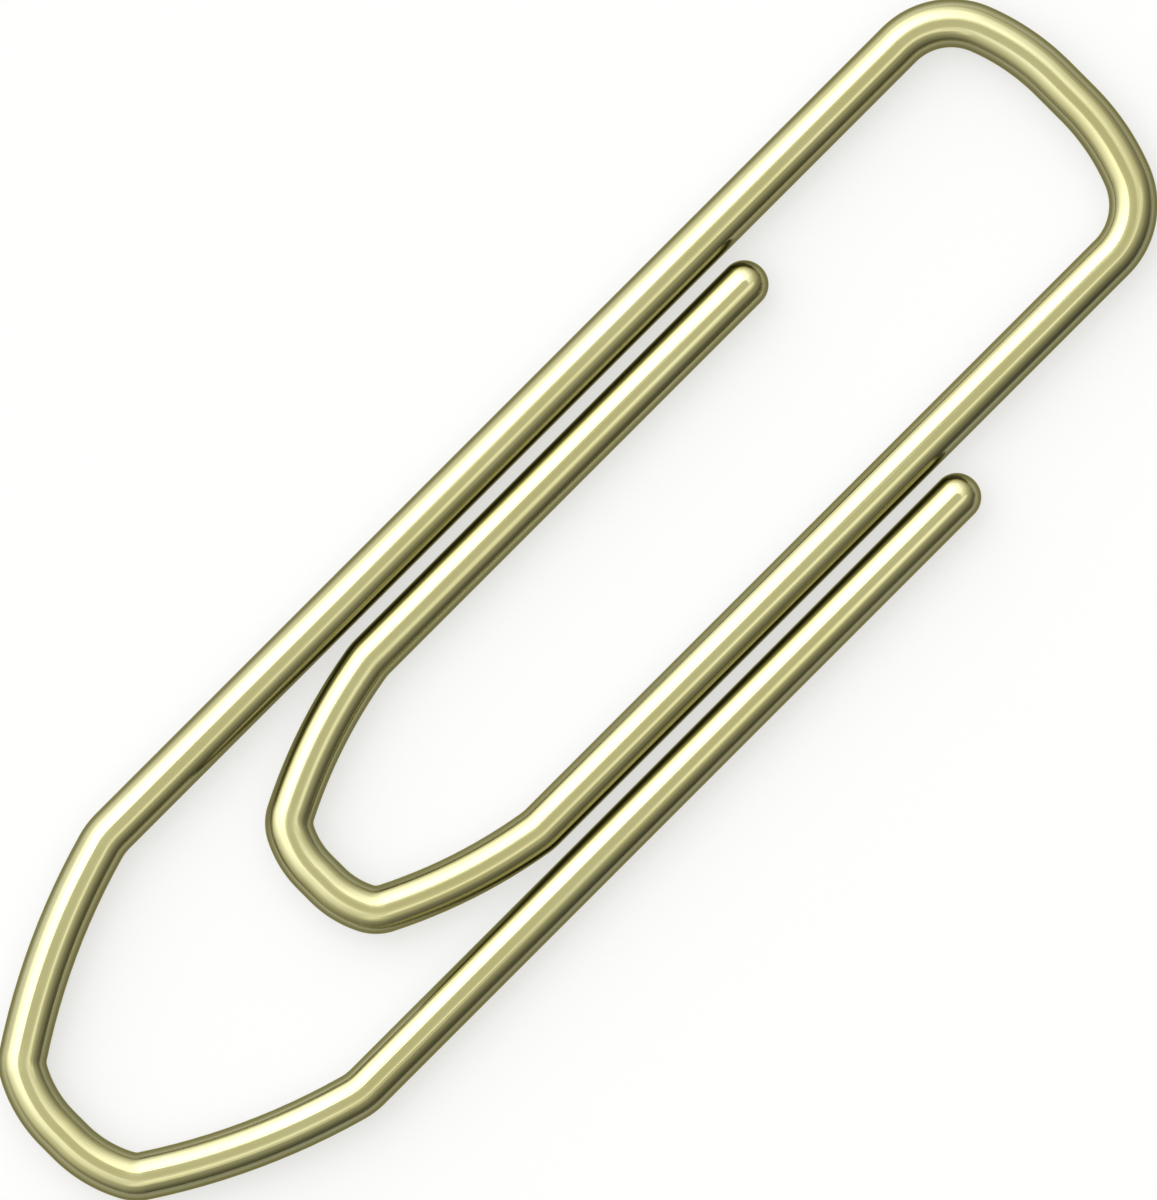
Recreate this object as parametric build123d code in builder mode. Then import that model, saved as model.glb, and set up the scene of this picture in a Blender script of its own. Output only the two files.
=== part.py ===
from build123d import *
import os
from math import cos, radians

# A wire paper clip with two pointed noses and a squared-off head, lying flat.
# The clip is one round wire. From its outer free end it runs down to the outer nose, back up the long side,
# over the head, down the tongue's straight side, round the inner nose and up to its inner free end.
# Each straight side and each half of a bend is a named section, cut square to the wire. A bend is cut at its
# middle, where the clip gives: the two halves turn against each other about the wire's own centre line there.

# Driving sizes, in millimetres and degrees.
# +X runs across the clip, +Y towards the head and +Z up from the surface that the clip lies on.
WIRE_DIAMETER = 1.05
CLIP_LENGTH = 32.30  # outside of the outer nose to outside of the head
TONGUE_PITCH = 5.20  # centre line to centre line of the tongue's two sides
SIDE_GAP = 0.25  # clear gap between a free end and the side that it lies along
NOSE_STEP = 7.85  # from the outer nose up to the inner nose
TIP_TO_HEAD = 7.86  # both free ends stop this far below the outside of the head

# The head: a short flat, a shallow crown and a tighter corner on each side of its middle.
HEAD_FLAT = 0.39
CROWN_RADIUS = 5.06
CROWN_TURN = 21.4

# The noses: a flat, a shallow bottom, a sharp shoulder, a slightly bowed arm and a soft knee on each side.
NOSE_FLAT = 0.20
SHOULDER_INSIDE_RADIUS = 0.20
KNEE_INSIDE_RADIUS = 1.00
OUTER_BOTTOM_RADIUS = 2.88
OUTER_SHOULDER_TURN = 27.9
OUTER_ARM_TURN = 17.7
OUTER_KNEE_TURN = 15.7
INNER_BOTTOM_RADIUS = 2.07
INNER_SHOULDER_TURN = 36.0
INNER_ARM_TURN = 17.3
INNER_KNEE_TURN = 9.6

# Sizes and places that follow from them.
QUARTER_TURN = 90
WIRE_RADIUS = WIRE_DIAMETER / 2
SHOULDER_RADIUS = SHOULDER_INSIDE_RADIUS + WIRE_RADIUS
KNEE_RADIUS = KNEE_INSIDE_RADIUS + WIRE_RADIUS
SIDE_STEP = WIRE_DIAMETER + SIDE_GAP
OUTER_PITCH = TONGUE_PITCH + 2 * SIDE_STEP
HEAD_PITCH = TONGUE_PITCH + SIDE_STEP
HEAD_MIDDLE = Vector(-SIDE_STEP / 2, CLIP_LENGTH / 2 - WIRE_RADIUS, WIRE_RADIUS)
OUTER_NOSE_MIDDLE = Vector(0, WIRE_RADIUS - CLIP_LENGTH / 2, WIRE_RADIUS)
INNER_NOSE_MIDDLE = OUTER_NOSE_MIDDLE + Vector(0, NOSE_STEP, 0)
TIP_CENTRE_Y = CLIP_LENGTH / 2 - TIP_TO_HEAD - WIRE_RADIUS


def close_bends(half_pitch, flat, bends):
    """Return the (radius, turn) pairs of half a bend, from its middle out to the straight side.

    One pair comes in with no radius. It gets the radius that ends the bend on the side's centre line.
    """
    heading = QUARTER_TURN
    known_travel = flat
    open_travel = 0
    for radius, turn in bends:
        travel = cos(radians(heading - turn)) - cos(radians(heading))
        heading = heading - turn
        if radius is None:
            open_travel = travel
        else:
            known_travel = known_travel + radius * travel
    closing_radius = (half_pitch - known_travel) / open_travel
    return [(closing_radius if radius is None else radius, turn) for radius, turn in bends]


def nose_bends(pitch, bottom_radius, shoulder_turn, arm_turn, knee_turn):
    """Return the bends of half a nose. The bow of the arm closes the nose to the pitch of its sides."""
    bottom_turn = QUARTER_TURN - shoulder_turn - arm_turn - knee_turn
    bends = [
        (bottom_radius, bottom_turn),
        (SHOULDER_RADIUS, shoulder_turn),
        (None, arm_turn),
        (KNEE_RADIUS, knee_turn),
    ]
    return close_bends(pitch / 2, NOSE_FLAT, bends)


def draw_bends(middle, flat_end, bends):
    """Draw half a bend from its middle, flat first, always turning left. Return where it ends."""
    stretch = Line(middle, flat_end)
    for radius, turn in bends:
        stretch = JernArc(start=stretch @ 1, tangent=stretch % 1, radius=radius, arc_size=turn)
    return stretch @ 1


def across_wire(x, y):
    """Return the plane that cuts a straight side of the clip square, facing the head."""
    return Plane(origin=(x, y, WIRE_RADIUS), x_dir=(1, 0, 0), z_dir=(0, 1, 0))


# The head, an arch from the long side over to the tongue.
head_bends = close_bends(
    HEAD_PITCH / 2,
    HEAD_FLAT,
    [(CROWN_RADIUS, CROWN_TURN), (None, QUARTER_TURN - CROWN_TURN)],
)
with BuildPart() as head_leg_half:
    with BuildLine() as head_path:
        head_corner = draw_bends(HEAD_MIDDLE, HEAD_MIDDLE - Vector(HEAD_FLAT, 0, 0), head_bends)
    with BuildSketch(head_path.line ^ 0):
        Circle(WIRE_RADIUS)
    sweep()

with BuildPart() as head_tongue_half:
    mirror(head_leg_half.part, about=Plane.YZ.offset(HEAD_MIDDLE.X))

# The outer nose, from the long side round to the outer free end.
outer_bends = nose_bends(
    OUTER_PITCH,
    OUTER_BOTTOM_RADIUS,
    OUTER_SHOULDER_TURN,
    OUTER_ARM_TURN,
    OUTER_KNEE_TURN,
)
with BuildPart() as outer_nose_tail_half:
    with BuildLine() as outer_path:
        outer_knee = draw_bends(OUTER_NOSE_MIDDLE, OUTER_NOSE_MIDDLE + Vector(NOSE_FLAT, 0, 0), outer_bends)
    with BuildSketch(outer_path.line ^ 0):
        Circle(WIRE_RADIUS)
    sweep()

with BuildPart() as outer_nose_leg_half:
    mirror(outer_nose_tail_half.part, about=Plane.YZ)

# The inner nose, the tip of the tongue.
inner_bends = nose_bends(
    TONGUE_PITCH,
    INNER_BOTTOM_RADIUS,
    INNER_SHOULDER_TURN,
    INNER_ARM_TURN,
    INNER_KNEE_TURN,
)
with BuildPart() as inner_nose_leg_half:
    with BuildLine() as inner_path:
        inner_knee = draw_bends(INNER_NOSE_MIDDLE, INNER_NOSE_MIDDLE + Vector(NOSE_FLAT, 0, 0), inner_bends)
    with BuildSketch(inner_path.line ^ 0):
        Circle(WIRE_RADIUS)
    sweep()

with BuildPart() as inner_nose_tail_half:
    mirror(inner_nose_leg_half.part, about=Plane.YZ)

# The two sides that carry the head.
with BuildPart() as long_leg:
    with BuildSketch(across_wire(-OUTER_PITCH / 2, outer_knee.Y)):
        Circle(WIRE_RADIUS)
    extrude(amount=head_corner.Y - outer_knee.Y)

with BuildPart() as inner_leg:
    with BuildSketch(across_wire(TONGUE_PITCH / 2, inner_knee.Y)):
        Circle(WIRE_RADIUS)
    extrude(amount=head_corner.Y - inner_knee.Y)

# The two free ends, each with its cut end rounded to a half ball.
with BuildPart() as outer_tail:
    with BuildSketch(across_wire(OUTER_PITCH / 2, outer_knee.Y)):
        Circle(WIRE_RADIUS)
    extrude(amount=TIP_CENTRE_Y - outer_knee.Y)
    with Locations((OUTER_PITCH / 2, TIP_CENTRE_Y, WIRE_RADIUS)):
        Sphere(WIRE_RADIUS)

with BuildPart() as inner_tail:
    with BuildSketch(across_wire(-TONGUE_PITCH / 2, inner_knee.Y)):
        Circle(WIRE_RADIUS)
    extrude(amount=TIP_CENTRE_Y - inner_knee.Y)
    with Locations((-TONGUE_PITCH / 2, TIP_CENTRE_Y, WIRE_RADIUS)):
        Sphere(WIRE_RADIUS)

# Each section is named and written by itself, in the order that the wire runs.
SECTIONS = {
    "outer_tail": outer_tail,
    "outer_nose_tail_half": outer_nose_tail_half,
    "outer_nose_leg_half": outer_nose_leg_half,
    "long_leg": long_leg,
    "head_leg_half": head_leg_half,
    "head_tongue_half": head_tongue_half,
    "inner_leg": inner_leg,
    "inner_nose_leg_half": inner_nose_leg_half,
    "inner_nose_tail_half": inner_nose_tail_half,
    "inner_tail": inner_tail,
}
os.makedirs("parts", exist_ok=True)
for name, section in SECTIONS.items():
    section.part.label = name
    export_step(section.part, f"parts/{name}.step")

for bend_name, bends in (("head", head_bends), ("outer nose", outer_bends), ("inner nose", inner_bends)):
    radii = ", ".join(f"{radius:.2f}" for radius, turn in bends)
    print(f"{bend_name}: bend radii from its middle out {radii} mm")
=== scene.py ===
# %% [markdown]
# # A paper clip of brass-coloured wire
# The clip is one round wire, about 1 mm thick, bent flat into three U-bends: a pointed outer nose, a squared-off
# head and a pointed inner nose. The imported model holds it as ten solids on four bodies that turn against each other
# where the real wire twists. It is loaded first and stays as it is: every piece made below is placed by it.

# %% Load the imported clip
from math import ceil, cos, pi, radians, sin

import bmesh
import bpy
from mathutils import Matrix, Vector
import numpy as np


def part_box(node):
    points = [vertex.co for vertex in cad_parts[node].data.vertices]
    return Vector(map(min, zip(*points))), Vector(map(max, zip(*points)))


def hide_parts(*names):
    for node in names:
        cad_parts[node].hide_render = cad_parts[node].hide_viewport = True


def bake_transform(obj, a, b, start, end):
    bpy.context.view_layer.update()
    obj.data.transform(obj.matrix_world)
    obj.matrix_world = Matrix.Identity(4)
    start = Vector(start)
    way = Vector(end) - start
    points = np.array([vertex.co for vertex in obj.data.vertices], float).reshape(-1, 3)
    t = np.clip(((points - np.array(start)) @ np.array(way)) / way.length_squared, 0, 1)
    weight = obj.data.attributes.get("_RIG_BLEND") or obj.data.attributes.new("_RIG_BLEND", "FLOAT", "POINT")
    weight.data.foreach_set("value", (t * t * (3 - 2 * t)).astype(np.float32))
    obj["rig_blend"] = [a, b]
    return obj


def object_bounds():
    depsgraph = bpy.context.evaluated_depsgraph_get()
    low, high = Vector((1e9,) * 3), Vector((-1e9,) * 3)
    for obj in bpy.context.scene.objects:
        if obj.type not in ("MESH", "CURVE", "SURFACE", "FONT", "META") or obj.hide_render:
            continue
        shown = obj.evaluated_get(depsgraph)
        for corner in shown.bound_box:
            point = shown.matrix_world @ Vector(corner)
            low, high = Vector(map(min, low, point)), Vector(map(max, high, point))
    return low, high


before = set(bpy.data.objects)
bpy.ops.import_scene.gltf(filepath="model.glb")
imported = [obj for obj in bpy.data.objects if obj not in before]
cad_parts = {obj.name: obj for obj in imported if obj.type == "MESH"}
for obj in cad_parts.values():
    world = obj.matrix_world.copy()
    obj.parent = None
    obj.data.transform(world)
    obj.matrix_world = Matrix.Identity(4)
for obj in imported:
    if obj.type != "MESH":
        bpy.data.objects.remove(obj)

cad_box = [[float(value) for value in corner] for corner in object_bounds()]
print("CAD box, lowest and highest corner in metres:", cad_box)

# %% [markdown]
# ## The drawing of the clip
# A wire bender works from a drawing: how thick the wire is, where its straight sides lie and where each bend begins.
# All of that can be read off the frame, so that the visible wire lies exactly where the solids are. The clip lies
# flat, so its height is the thickness of the wire.

# %% Read the straight sides
MM = 0.001

side_boxes = {side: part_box(side) for side in ("outer_tail", "long_leg", "inner_leg", "inner_tail")}
side_x = {side: (low.x + high.x) / 2 for side, (low, high) in side_boxes.items()}

leg_low, leg_high = side_boxes["long_leg"]
WIRE_RADIUS = (cad_box[1][2] - cad_box[0][2]) / 2
TIP_Y = side_boxes["outer_tail"][1].y
OUTER_KNEE_Y = leg_low.y
HEAD_CORNER_Y = leg_high.y
INNER_KNEE_Y = side_boxes["inner_leg"][0].y
print(f"wire {2 * WIRE_RADIUS / MM:.3f} mm thick, free ends at y = {TIP_Y / MM:.3f} mm")
print("centre lines of the sides, x in mm:", {side: round(x / MM, 3) for side, x in side_x.items()})

# %% [markdown]
# ## The bends
# Each bend is a chain of arcs that all turn the same way. From its middle outwards the head has a short flat, a
# shallow crown and a tighter corner. A nose has a flat, a shallow bottom, a sharp shoulder, a slightly bowed arm and a
# soft knee. The radii are to the wire's centre line. One radius in each chain isn't a choice: it is whatever brings
# the wire out on the centre line of its side, so it is worked out, as a bender's setter would do by trial.

# %% Choose the sizes of the bends
HEAD_FLAT = 0.39 * MM
CROWN_RADIUS = 5.06 * MM
NOSE_FLAT = 0.20 * MM
OUTER_BOTTOM_RADIUS = 2.88 * MM
INNER_BOTTOM_RADIUS = 2.07 * MM
SHOULDER_RADIUS = 0.20 * MM + WIRE_RADIUS
KNEE_RADIUS = 1.00 * MM + WIRE_RADIUS
# Turns in degrees: of crown and corner, or of bottom, shoulder, arm and knee. Each row adds up to a quarter turn.
HEAD_TURNS = (21.4, 68.6)
OUTER_TURNS = (28.7, 27.9, 17.7, 15.7)
INNER_TURNS = (27.1, 36.0, 17.3, 9.6)
print(f"tightest bend, at the shoulders: {SHOULDER_RADIUS / MM:.3f} mm to the centre line")

# %% Work out each bend from its middle out to its side
QUARTER_TURN = 90


def close_bends(first_side, last_side, flat, radii, turns):
    """Pair radii and turns. The one radius that is missing is what ends the chain on the side's centre line."""
    heading = QUARTER_TURN
    known_travel = flat
    open_travel = 0
    for radius, turn in zip(radii, turns):
        travel = cos(radians(heading - turn)) - cos(radians(heading))
        heading -= turn
        if radius is None:
            open_travel = travel
        else:
            known_travel += radius * travel
    half_pitch = (side_x[last_side] - side_x[first_side]) / 2
    closing_radius = (half_pitch - known_travel) / open_travel
    return [(radius or closing_radius, turn) for radius, turn in zip(radii, turns)]


head_radii = (CROWN_RADIUS, None)
outer_radii = (OUTER_BOTTOM_RADIUS, SHOULDER_RADIUS, None, KNEE_RADIUS)
inner_radii = (INNER_BOTTOM_RADIUS, SHOULDER_RADIUS, None, KNEE_RADIUS)
head_bends = close_bends("long_leg", "inner_leg", HEAD_FLAT, head_radii, HEAD_TURNS)
outer_bends = close_bends("long_leg", "outer_tail", NOSE_FLAT, outer_radii, OUTER_TURNS)
inner_bends = close_bends("inner_tail", "inner_leg", NOSE_FLAT, inner_radii, INNER_TURNS)
for bend, chain in (("head", head_bends), ("outer nose", outer_bends), ("inner nose", inner_bends)):
    print(f"{bend}: radii {[round(radius / MM, 2) for radius, turn in chain]} mm")

# %% [markdown]
# ## Feeding and bending wire
# A bending machine knows two moves: it feeds wire straight on, or it feeds it round a pin. A curve object with a round
# bevel would give the same tube, but its rings tilt and crowd where arcs of very different radius meet. So a ring of
# edges is pushed through the same moves here: it is extruded, then moved along a straight or turned about the pin.
# Each vertex also remembers where it lay on the straight wire, and how far that stretch was strained by bending. The
# finish uses both: marks from drawing the wire run along it and follow it round each bend.

# %% Cut a ring of wire
UP = Vector((0, 0, 1))
RING_SIDES = 64


def ring_through(verts):
    """The edges that have both ends among these vertices."""
    ring_verts = set(verts)
    touching = dict.fromkeys(edge for vert in verts for edge in vert.link_edges)
    return [edge for edge in touching if ring_verts.issuperset(edge.verts)]


def cut_wire(wire, place, heading):
    """Start a wire with a ring of edges, square to its heading."""
    across = UP.cross(heading)
    turned = Matrix((across, UP, heading)).transposed().to_4x4()
    spot = Matrix.Translation(place) @ turned
    verts = bmesh.ops.create_circle(wire, segments=RING_SIDES, radius=WIRE_RADIUS, matrix=spot)["verts"]
    return ring_through(verts)


def note_on_straight_wire(wire, verts, place, heading, fed, strain):
    """Write down where these vertices lay before the wire was bent."""
    straight_place = wire.verts.layers.float_vector["straight_place"]
    bend_strain = wire.verts.layers.float["bend_strain"]
    across = UP.cross(heading)
    for vert in verts:
        offset = vert.co - place
        vert[straight_place] = (offset.dot(across), offset.z, fed + offset.dot(heading))
        vert[bend_strain] = strain


print(f"a ring has {RING_SIDES} sides of {2 * pi * WIRE_RADIUS / RING_SIDES / MM:.3f} mm")

# %% Carry the ring along its moves
LONGEST_FEED = 1.0 * MM
FINEST_TURN = 1.5


def moves_round(flat, bends):
    """The (length, turn) moves of a whole bend: in from one side, along its flat and out to the other side."""
    half = [(radius * radians(turn), turn) for radius, turn in bends]
    return half[::-1] + [(2 * flat, 0)] + half


def carry_ring(wire, ring, place, heading, fed, moves):
    """Push a ring of wire through (length, turn) moves, turning right. Return where it ends up."""
    for length, turn in moves:
        steps = max(ceil(length / LONGEST_FEED), ceil(turn / FINEST_TURN))
        feed = length / steps
        step_turn = radians(turn) / steps
        strain = WIRE_RADIUS * radians(turn) / length
        for step in range(steps):
            grown = bmesh.ops.extrude_edge_only(wire, edges=ring)["geom"]
            verts = [part for part in grown if isinstance(part, bmesh.types.BMVert)]
            if turn:
                pin = place - UP.cross(heading) * (length / radians(turn))
                turning = Matrix.Rotation(-step_turn, 3, "Z")
                bmesh.ops.rotate(wire, verts=verts, cent=pin, matrix=turning)
                place = pin + turning @ (place - pin)
                heading = turning @ heading
            else:
                bmesh.ops.translate(wire, verts=verts, vec=heading * feed)
                place = place + heading * feed
            fed += feed
            ring = ring_through(verts)
            note_on_straight_wire(wire, verts, place, heading, fed, strain)
    return ring, place, heading, fed


print(f"rings are at most {LONGEST_FEED / MM:.0f} mm apart on a straight, and {FINEST_TURN} degrees in a bend")

# %% [markdown]
# ## Free ends and hidden joints
# The wire is cut square, then its two free ends are tumbled round so that they don't tear paper. A bevel does the same
# to the mesh: the square end gets a cap, and the edge round the cap is bevelled by the wire's radius, which leaves a
# half ball. Where one piece of wire meets the next, the cap stays flat and its edge is marked sharp, so that the
# surface on both sides of the meeting is shaded as one wire.

# %% Cap and round an end
# A bevel of the full radius would shrink the cap to a point, so a speck of it stays flat.
TIP_ROUNDING = 0.985
TIP_SEGMENTS = 20


def cap_end(wire, ring, place, heading, fed, free):
    """Close an end. A free end is rounded to a half ball round place, one wire radius short of the cut."""
    bmesh.ops.holes_fill(wire, edges=ring, sides=RING_SIDES)
    if not free:
        for edge in ring:
            edge.smooth = False
        return
    rounded = bmesh.ops.bevel(
        wire,
        geom=ring,
        offset=TIP_ROUNDING * WIRE_RADIUS,
        segments=TIP_SEGMENTS,
        profile=0.5,
        affect="EDGES",
        material=-1,
    )
    note_on_straight_wire(wire, rounded["verts"], place, heading, fed, 0)


print(f"a free end is rounded over {TIP_ROUNDING * WIRE_RADIUS / MM:.3f} mm, in {TIP_SEGMENTS} steps")

# %% [markdown]
# ## One piece of wire
# Blender shapes a mesh as a bmesh and shows it as an object. A piece of wire starts as an empty bmesh with room for the
# two notes on each vertex. It is cut, carried through its moves, capped at both ends and turned into an object. The
# whole clip could be made in one go, but a piece can bend between two bodies only, so there is one for each U-bend.

# %% Bend a piece and make it an object


def finish_wire(wire, name):
    """Turn a wire into an object with smooth sides that face outwards."""
    bmesh.ops.recalc_face_normals(wire, faces=wire.faces)
    for face in wire.faces:
        face.smooth = True
    mesh = bpy.data.meshes.new(name)
    wire.to_mesh(mesh)
    wire.free()
    piece = bpy.data.objects.new(name, mesh)
    bpy.context.scene.collection.objects.link(piece)
    low = [min(vert.co[axis] for vert in mesh.vertices) / MM for axis in range(3)]
    high = [max(vert.co[axis] for vert in mesh.vertices) / MM for axis in range(3)]
    print(name, len(mesh.polygons), "faces, from", [round(v, 3) for v in low], "to", [round(v, 3) for v in high])
    return piece


def bend_piece(name, place, heading, fed, moves, free_start=False, free_end=False):
    """Bend a piece of wire that starts at place. Return it, and where and how far along the wire it ends."""
    wire = bmesh.new()
    wire.verts.layers.float_vector.new("straight_place")
    wire.verts.layers.float.new("bend_strain")
    first_ring = cut_wire(wire, place, heading)
    note_on_straight_wire(wire, wire.verts, place, heading, fed, 0)
    last_ring, end, end_heading, end_fed = carry_ring(wire, first_ring, place, heading, fed, moves)
    cap_end(wire, last_ring, end - end_heading * WIRE_RADIUS, end_heading, end_fed - WIRE_RADIUS, free_end)
    cap_end(wire, first_ring, place + heading * WIRE_RADIUS, heading, fed + WIRE_RADIUS, free_start)
    piece = finish_wire(wire, name)
    print(f"{name} ends after {end_fed / MM:.2f} mm of wire, at {[round(value / MM, 3) for value in end]}")
    return piece, end, end_heading, end_fed


# %% [markdown]
# ## The outer nose and the outer free end
# The wire is followed from its outer free end. It runs down that straight tail, round the pointed outer nose and stops
# where the long leg begins. The nose twists when paper goes in, and a blend lets the mesh do so: it follows the outer
# arm on the tail's side and the outer frame on the leg's side, and turns smoothly in between.

# %% Bend the outer nose
outer_cut = Vector((side_x["outer_tail"], TIP_Y, WIRE_RADIUS))
towards_noses = Vector((0, -1, 0))
outer_tail_moves = [(WIRE_RADIUS, 0), (TIP_Y - OUTER_KNEE_Y - WIRE_RADIUS, 0)]
outer_nose_wire, place, heading, fed = bend_piece(
    "outer_nose_wire",
    outer_cut,
    towards_noses,
    0,
    outer_tail_moves + moves_round(NOSE_FLAT, outer_bends),
    free_start=True,
)

# %% [markdown]
# ## The head
# The long leg runs up to the squared-off head, which turns the wire back down into the tongue's straight side. This is
# the bend that opens when the tongue lifts, so the blend goes from the outer frame on the left to the tongue on the
# right.

# %% Bend the head
long_leg_moves = [(HEAD_CORNER_Y - OUTER_KNEE_Y, 0)]
inner_leg_moves = [(HEAD_CORNER_Y - INNER_KNEE_Y, 0)]
head_wire, place, heading, fed = bend_piece(
    "head_wire",
    place,
    heading,
    fed,
    long_leg_moves + moves_round(HEAD_FLAT, head_bends) + inner_leg_moves,
)

# %% [markdown]
# ## The inner nose and the inner free end
# The last stretch rounds the tongue's own nose and runs up to the inner free end, beside the long leg. It bends
# between the tongue and the inner arm.

# %% Bend the inner nose
inner_tail_moves = [(TIP_Y - INNER_KNEE_Y - WIRE_RADIUS, 0), (WIRE_RADIUS, 0)]
inner_nose_wire, place, heading, fed = bend_piece(
    "inner_nose_wire",
    place,
    heading,
    fed,
    moves_round(NOSE_FLAT, inner_bends) + inner_tail_moves,
    free_end=True,
)

# %% [markdown]
# ## Brass-plated steel wire
# Wire clips of this colour are steel wire, drawn through a die and plated with brass, which leaves a pale, slightly
# greenish yellow metal. It is smooth enough to mirror the studio, but not perfect. A plain metallic shader would give
# the colour and the mirror, so the work here is in the small faults. All of them are laid out on the straight wire,
# where the real ones come from, and each bend carries them round.

# %% Colour and node helpers


def linear_colour(hex_code):
    """An sRGB hex value as the linear RGBA that a shader works in."""
    channels = [int(hex_code[start:start + 2], 16) / 255 for start in (1, 3, 5)]
    return [c / 12.92 if c <= 0.04045 else ((c + 0.055) / 1.055) ** 2.4 for c in channels] + [1]


def add_node(tree, kind, sockets=None, **settings):
    """Add a node, set its options, and set or link its inputs."""
    node = tree.nodes.new(kind)
    for option, value in settings.items():
        setattr(node, option, value)
    for socket, value in (sockets or {}).items():
        if isinstance(value, bpy.types.NodeSocket):
            tree.links.new(value, node.inputs[socket])
        else:
            node.inputs[socket].default_value = value
    return node


def empty_material(name):
    """A new material with no nodes in it."""
    material = bpy.data.materials.new(name)
    material.use_nodes = True
    material.node_tree.nodes.clear()
    return material


print("a middle grey, #808080, is", round(linear_colour("#808080")[0], 3), "in linear light")

# %% [markdown]
# ### Drawing lines
# The die leaves fine lines along the wire. A picture of scratches would have to be wrapped round every bend, so the
# lines are noise instead, stretched along the straight wire. They make the mirror slightly rougher here and there, and
# cut shallow grooves that bend the reflections.

# %% Draw the lines
# Real drawing lines are a few hundredths of a millimetre apart and less than a thousandth deep. A pixel of the picture
# covers about 0.025 mm, so they are drawn 0.07 mm apart and 0.004 mm deep to show at all. They fade in and out over
# about 15 mm of wire.
LINE_WIDTH = 0.07 * MM
LINE_LENGTH = 15 * MM
LINE_DEPTH = 0.004 * MM
BRIGHT_ROUGHNESS = 0.12
DULL_ROUGHNESS = 0.19
# Nearly all of a noise texture lies between these two values.
NOISE_LOW = 0.3
NOISE_HIGH = 0.7

brass = empty_material("brass_plated_steel_wire")
tree = brass.node_tree
place_node = add_node(tree, "ShaderNodeAttribute", attribute_name="straight_place")
line_map = add_node(
    tree,
    "ShaderNodeMapping",
    {"Vector": place_node.outputs["Vector"], "Scale": (1 / LINE_WIDTH, 1 / LINE_WIDTH, 1 / LINE_LENGTH)},
)
lines = add_node(
    tree,
    "ShaderNodeTexNoise",
    {"Vector": line_map.outputs["Vector"], "Scale": 1.0, "Detail": 2.0, "Roughness": 0.5},
)
line_roughness = add_node(
    tree,
    "ShaderNodeMapRange",
    {
        "Value": lines.outputs["Fac"],
        "From Min": NOISE_LOW,
        "From Max": NOISE_HIGH,
        "To Min": BRIGHT_ROUGHNESS,
        "To Max": DULL_ROUGHNESS,
    },
)
groove = add_node(
    tree,
    "ShaderNodeBump",
    {"Height": lines.outputs["Fac"], "Strength": 1.0, "Distance": LINE_DEPTH},
)
print(f"drawing lines {LINE_WIDTH / MM:.2f} mm apart and {LINE_LENGTH / MM:.0f} mm long")

# %% [markdown]
# ### Plating and painted shade
# The plating is a little uneven: soft patches of it are paler, and drawn out along the wire. Shade is painted into the
# colour of the flanks, which draws each wire with a darker line along both edges, as a lit round wire is shaded there.
# Shading by the angle of view would draw such a line too, but it would slide as the camera moves. The painted shade
# goes by the height on the straight wire, so it stays in its place.

# %% Colour the plating
PLATING_PATCH = 0.9 * MM
PLATING_LENGTH = 3.5 * MM

patch_map = add_node(
    tree,
    "ShaderNodeMapping",
    {
        "Vector": place_node.outputs["Vector"],
        "Scale": (1 / PLATING_PATCH, 1 / PLATING_PATCH, 1 / PLATING_LENGTH),
    },
)
patches = add_node(
    tree,
    "ShaderNodeTexNoise",
    {"Vector": patch_map.outputs["Vector"], "Scale": 1.0, "Detail": 3.0, "Roughness": 0.55},
)
plating = add_node(tree, "ShaderNodeValToRGB", {"Fac": patches.outputs["Fac"]})
plating.color_ramp.elements[0].position = NOISE_LOW
plating.color_ramp.elements[0].color = linear_colour("#DAD5A0")
plating.color_ramp.elements[1].position = NOISE_HIGH
plating.color_ramp.elements[1].color = linear_colour("#E0DDAE")
print(f"plating in patches {PLATING_PATCH / MM:.1f} mm wide and {PLATING_LENGTH / MM:.1f} mm long")

# %% Paint shade on the flanks
# The painted shade fades out between these shares of the radius, measured up or down from the wire's middle. Where it
# is full, the plating mirrors about a quarter of what it does where there is none.
FLANK_SHADE_FROM = 0.42
FLANK_SHADE_TO = 0.92
PAINTED_FLANK_SHADE = 0.28

across_wire = add_node(tree, "ShaderNodeSeparateXYZ", {"Vector": place_node.outputs["Vector"]})
off_middle = add_node(tree, "ShaderNodeMath", {0: across_wire.outputs["Y"]}, operation="ABSOLUTE")
# Painted shade: the base colour is darkened on the wire's flanks, where a lit round wire is shaded.
flank_shade_node = add_node(
    tree,
    "ShaderNodeMapRange",
    {
        "Value": off_middle.outputs["Value"],
        "From Min": FLANK_SHADE_FROM * WIRE_RADIUS,
        "From Max": FLANK_SHADE_TO * WIRE_RADIUS,
        "To Min": PAINTED_FLANK_SHADE,
        "To Max": 1.0,
    },
    interpolation_type="SMOOTHSTEP",
)
# The plating colour times the painted shade on the flanks.
painted_shade_colour = add_node(
    tree,
    "ShaderNodeVectorMath",
    {0: plating.outputs["Color"], "Scale": flank_shade_node.outputs["Result"]},
    operation="SCALE",
)
# The film in this printout is the painted shade on the flanks.
print(f"film thins out {FLANK_SHADE_FROM * WIRE_RADIUS / MM:.2f} to {FLANK_SHADE_TO * WIRE_RADIUS / MM:.2f} mm off the middle")

# %% [markdown]
# ### The whole finish
# A tight bend stretches the plating and dulls it, so the strain of bending is added to the roughness. One metallic
# shader then takes up the colour, the roughness and the grooves. It gives the eye a soft mirror with a pale yellow
# cast, which is sharper along the sides and hazier in the bends.

# %% Put the finish together
STRAIN_DULLING = 0.08
# At the very edge of the wire, where clean metal would mirror like glass, this tint keeps the mirror the colour of
# brass.
EDGE_TINT = linear_colour("#C8C4A0")

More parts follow.
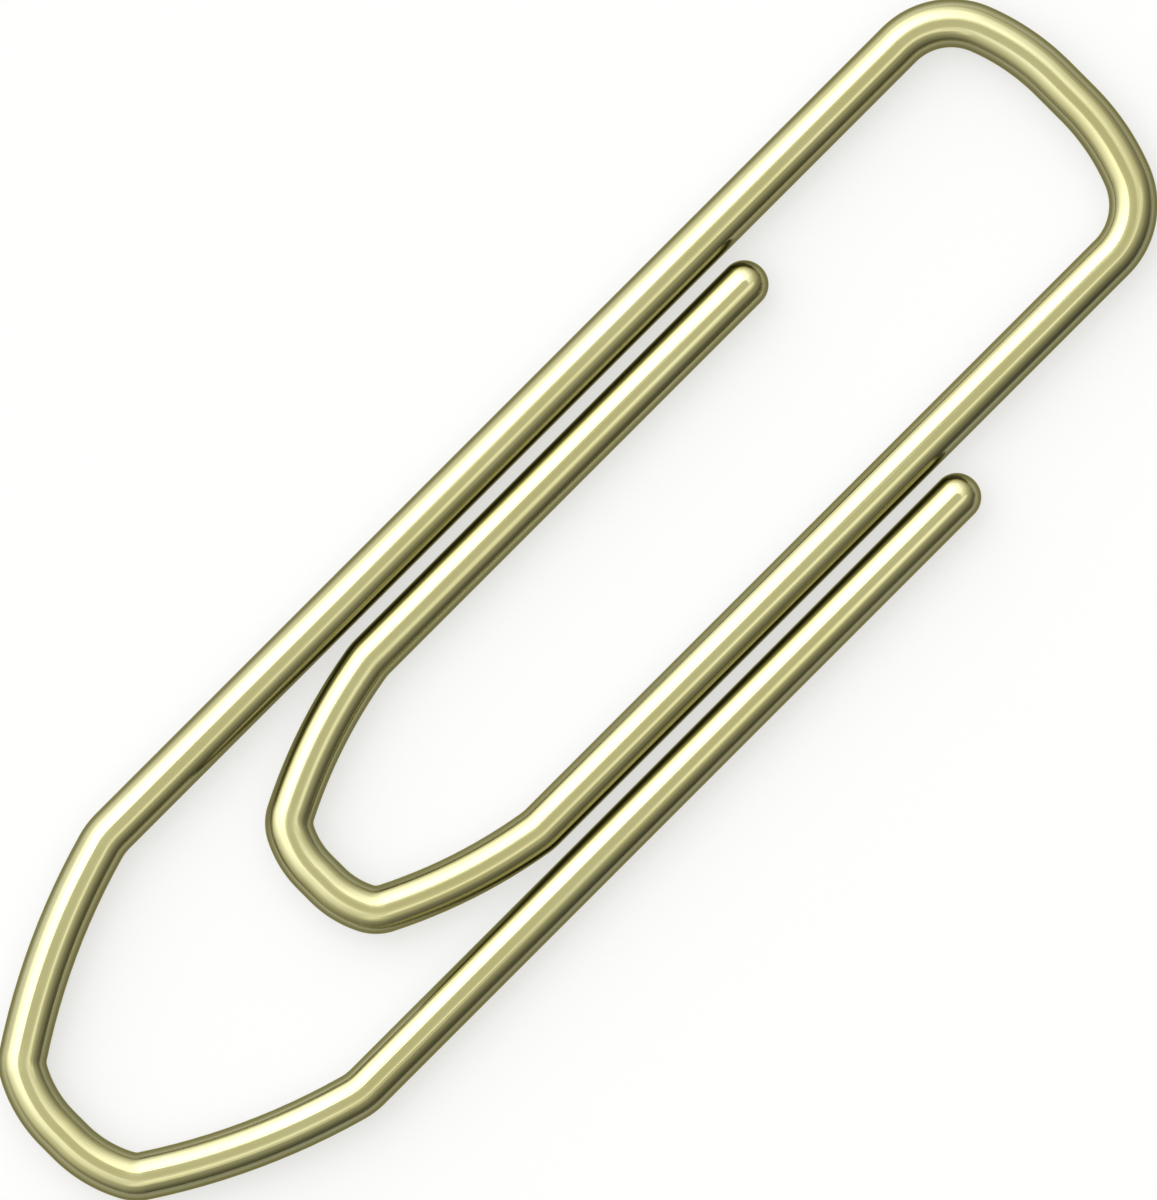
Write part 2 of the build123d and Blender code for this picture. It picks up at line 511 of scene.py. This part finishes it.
strain_node = add_node(tree, "ShaderNodeAttribute", attribute_name="bend_strain")
roughness = add_node(
    tree,
    "ShaderNodeMath",
    {0: strain_node.outputs["Fac"], 1: STRAIN_DULLING, 2: line_roughness.outputs["Result"]},
    operation="MULTIPLY_ADD",
)
shader = add_node(
    tree,
    "ShaderNodeBsdfPrincipled",
    {
        "Base Color": painted_shade_colour.outputs["Vector"],
        "Metallic": 1.0,
        "Specular Tint": EDGE_TINT,
        "Roughness": roughness.outputs["Value"],
        "Normal": groove.outputs["Normal"],
    },
)
add_node(tree, "ShaderNodeOutputMaterial", {"Surface": shader.outputs["BSDF"]})
print(brass.name, "has", len(tree.nodes), "nodes")

# %% [markdown]
# ## Putting the wire on its bodies
# Each piece of wire crosses one joint. Its straight sides follow the body at their end of the bend, and the bend
# between them shares out the turn. The pieces stand for all ten solids, which stay hidden in the frame for the motion.

# %% Blend the pieces across their joints


def dress(piece, nodes, first_body, last_body, first_side, last_side):
    """Give a wire its finish, and let it bend between the bodies of its two straight sides."""
    piece.data.materials.append(brass)
    toward = 1 if side_x[last_side] > side_x[first_side] else -1
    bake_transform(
        piece,
        first_body,
        last_body,
        start=(side_x[first_side] + toward * WIRE_RADIUS, 0, WIRE_RADIUS),
        end=(side_x[last_side] - toward * WIRE_RADIUS, 0, WIRE_RADIUS),
    )
    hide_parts(*nodes)
    print(piece.name, "bends between", first_body, "and", last_body)


dress(
    outer_nose_wire,
    ("outer_tail", "outer_nose_tail_half", "outer_nose_leg_half"),
    "outer_arm", "outer_frame", "outer_tail", "long_leg",
)
dress(
    head_wire,
    ("long_leg", "head_leg_half", "head_tongue_half", "inner_leg"),
    "outer_frame", "tongue", "long_leg", "inner_leg",
)
dress(
    inner_nose_wire,
    ("inner_nose_leg_half", "inner_nose_tail_half", "inner_tail"),
    "tongue", "inner_arm", "inner_leg", "inner_tail",
)

# %% [markdown]
# ## The floor
# A small bright object is shown on a plain white board with a gloss face. Seen from above it is simply white, and it
# takes the clip's soft shadow. Seen at a low angle the gloss mirrors the room instead, so the flanks of the wire, which
# look at the board from very low, show the dark side of the studio on their shaded side. A white board alone leaves
# the narrow gaps between the wires nearly black, so this one is a light pad: opal acrylic with a faint glow of its own,
# which keeps the shadow pale. The glow is there for the camera and for whatever is seen in metal or through glass, and
# a Light Path node keeps it from adding light to the scene.

# %% Make the light pad
PAD_GLOW = 0.6

light_pad = empty_material("opal_acrylic_light_pad")
tree = light_pad.node_tree
light_path = add_node(tree, "ShaderNodeLightPath")
seen_or_mirrored = add_node(
    tree,
    "ShaderNodeMath",
    {0: light_path.outputs["Is Camera Ray"], 1: light_path.outputs["Is Glossy Ray"]},
    operation="MAXIMUM",
)
seen_at_all = add_node(
    tree,
    "ShaderNodeMath",
    {0: seen_or_mirrored.outputs["Value"], 1: light_path.outputs["Is Transmission Ray"]},
    operation="MAXIMUM",
)
pad_glow = add_node(
    tree,
    "ShaderNodeMath",
    {0: seen_at_all.outputs["Value"], 1: PAD_GLOW},
    operation="MULTIPLY",
)
shader = add_node(
    tree,
    "ShaderNodeBsdfPrincipled",
    {
        "Base Color": linear_colour("#A3A3A6"),
        "Roughness": 0.3,
        "Coat Weight": 1.0,
        "Coat Roughness": 0.05,
        "Emission Color": linear_colour("#FFFFFF"),
        "Emission Strength": pad_glow.outputs["Value"],
    },
)
add_node(tree, "ShaderNodeOutputMaterial", {"Surface": shader.outputs["BSDF"]})
print(light_pad.name, "glows at", PAD_GLOW, "of white")

# %% Lay the floor
FLOOR_HALF = 1.0

sheet = bmesh.new()
bmesh.ops.create_grid(sheet, x_segments=1, y_segments=1, size=FLOOR_HALF)
floor_mesh = bpy.data.meshes.new("floor")
sheet.to_mesh(floor_mesh)
sheet.free()
floor = bpy.data.objects.new("floor", floor_mesh)
floor.data.materials.append(light_pad)
bpy.context.scene.collection.objects.link(floor)
print(f"floor {2 * FLOOR_HALF} m square")

# %% [markdown]
# ## Studio light
# Polished wire shows its surroundings, so the light is arranged as a reflection. Across a round wire, a point at a
# share s of the radius mirrors the direction 2 asin(s) away from the viewer. The studio is one large soft light on the
# long side of the clip, which fades all round, and towards the floor, until the far side is nearly dark: that gives
# each wire a broad white band, a smooth fall of the metal's own colour and a dark far side. A grey ceiling panel
# straight above calms the middle of the wire, and a thin strip light beside it draws the fine pale line there. The
# light is white and the panel and the dim walls are cream, so the metal looks yellower in its middle tones.

# %% Set up the soft light
# Angles are in degrees, and a brightness of 1 is that of white paper. Where the angle from the light's middle is the
# spread, it has fallen to about a third.
KEY_FROM_OVERHEAD = 51
KEY_BRIGHTNESS = 3.4
KEY_SPREAD = 59
KEY_FALL = 1.4
HORIZON_DIMMING = 0.45

world = bpy.data.worlds.new("studio")
bpy.context.scene.world = world
world.use_nodes = True
tree = world.node_tree
tree.nodes.clear()
towards_key = (-sin(radians(KEY_FROM_OVERHEAD)), 0, cos(radians(KEY_FROM_OVERHEAD)))
direction = add_node(tree, "ShaderNodeTexCoord").outputs["Generated"]
facing = add_node(tree, "ShaderNodeVectorMath", {0: direction, 1: towards_key}, operation="DOT_PRODUCT")
angle = add_node(tree, "ShaderNodeMath", {0: facing.outputs["Value"]}, operation="ARCCOSINE")
spread = add_node(tree, "ShaderNodeMath", {0: angle.outputs["Value"], 1: radians(KEY_SPREAD)}, operation="DIVIDE")
fall = add_node(tree, "ShaderNodeMath", {0: spread.outputs["Value"], 1: KEY_FALL}, operation="POWER")
fade = add_node(tree, "ShaderNodeMath", {0: fall.outputs["Value"], 1: -1}, operation="MULTIPLY")
glow = add_node(tree, "ShaderNodeMath", {0: fade.outputs["Value"]}, operation="EXPONENT")
height = add_node(tree, "ShaderNodeSeparateXYZ", {"Vector": direction})
dimming = add_node(
    tree,
    "ShaderNodeMath",
    {
        0: height.outputs["Z"],
        1: KEY_BRIGHTNESS * HORIZON_DIMMING,
        2: KEY_BRIGHTNESS * (1 - HORIZON_DIMMING),
    },
    operation="MULTIPLY_ADD",
)
key = add_node(
    tree,
    "ShaderNodeMath",
    {0: glow.outputs["Value"], 1: dimming.outputs["Value"]},
    operation="MULTIPLY",
)
print(f"soft light {KEY_FROM_OVERHEAD} degrees from overhead, spread over {KEY_SPREAD} degrees")

# %% Add the ceiling panel and the colours
CEILING_BRIGHTNESS = 0.65
CEILING_EDGE = 19.8

overhead = add_node(
    tree,
    "ShaderNodeMath",
    {0: height.outputs["Z"], 1: cos(radians(CEILING_EDGE))},
    operation="GREATER_THAN",
)
strength = add_node(
    tree,
    "ShaderNodeMix",
    {"Factor": overhead.outputs["Value"], "A": key.outputs["Value"], "B": CEILING_BRIGHTNESS},
)
tint = add_node(tree, "ShaderNodeValToRGB", {"Fac": strength.outputs["Result"]})
tint.color_ramp.elements[0].position = CEILING_BRIGHTNESS
tint.color_ramp.elements[0].color = linear_colour("#FFFDE9")
tint.color_ramp.elements[1].position = 1.0
tint.color_ramp.elements[1].color = linear_colour("#FFFFFF")
background = add_node(
    tree,
    "ShaderNodeBackground",
    {"Color": tint.outputs["Color"], "Strength": strength.outputs["Result"]},
)
add_node(tree, "ShaderNodeOutputWorld", {"Surface": background.outputs["Background"]})
print(f"ceiling panel out to {CEILING_EDGE} degrees from overhead")

# %% Hang the strip light
STRIP_FROM_OVERHEAD = 28
STRIP_DISTANCE = 0.5
STRIP_WIDTH = 0.085
STRIP_LENGTH = 0.8
STRIP_BRIGHTNESS = 0.48

lamp = bpy.data.lights.new("strip_light", "AREA")
lamp.shape = "RECTANGLE"
lamp.size = STRIP_WIDTH
lamp.size_y = STRIP_LENGTH
# The lamp is set in watts: the brightness that the wire mirrors, times pi, times the lamp's area.
lamp.energy = STRIP_BRIGHTNESS * pi * STRIP_WIDTH * STRIP_LENGTH
strip = bpy.data.objects.new("strip_light", lamp)
tilt = Matrix.Rotation(radians(STRIP_FROM_OVERHEAD), 4, "Y")
strip.matrix_world = tilt @ Matrix.Translation(UP * STRIP_DISTANCE)
bpy.context.scene.collection.objects.link(strip)
print(f"strip light {STRIP_FROM_OVERHEAD} degrees from overhead, {lamp.energy:.4f} W")

# %% [markdown]
# ## The camera
# The clip is seen straight from above, turned so that it lies across the picture from the lower left to the upper
# right. A very long lens keeps the view as flat as a drawing.

# %% Place the camera
IMAGE_HEIGHT_SEEN = 25.926 * MM
IMAGE_CENTRE = Vector((-0.313 * MM, 0.411 * MM, WIRE_RADIUS))
IMAGE_TURN = 45
LENS = 600
SENSOR = 36

camera = bpy.data.cameras.new("camera")
camera.lens = LENS
camera.sensor_width = SENSOR
camera_distance = IMAGE_HEIGHT_SEEN * LENS / SENSOR
camera_object = bpy.data.objects.new("camera", camera)
turned = Matrix.Rotation(radians(IMAGE_TURN), 4, "Z")
camera_object.matrix_world = Matrix.Translation(IMAGE_CENTRE + UP * camera_distance) @ turned
bpy.context.scene.collection.objects.link(camera_object)
bpy.context.scene.camera = camera_object
bpy.context.scene.view_settings.view_transform = "Standard"
print(f"camera {camera_distance:.3f} m above the clip")
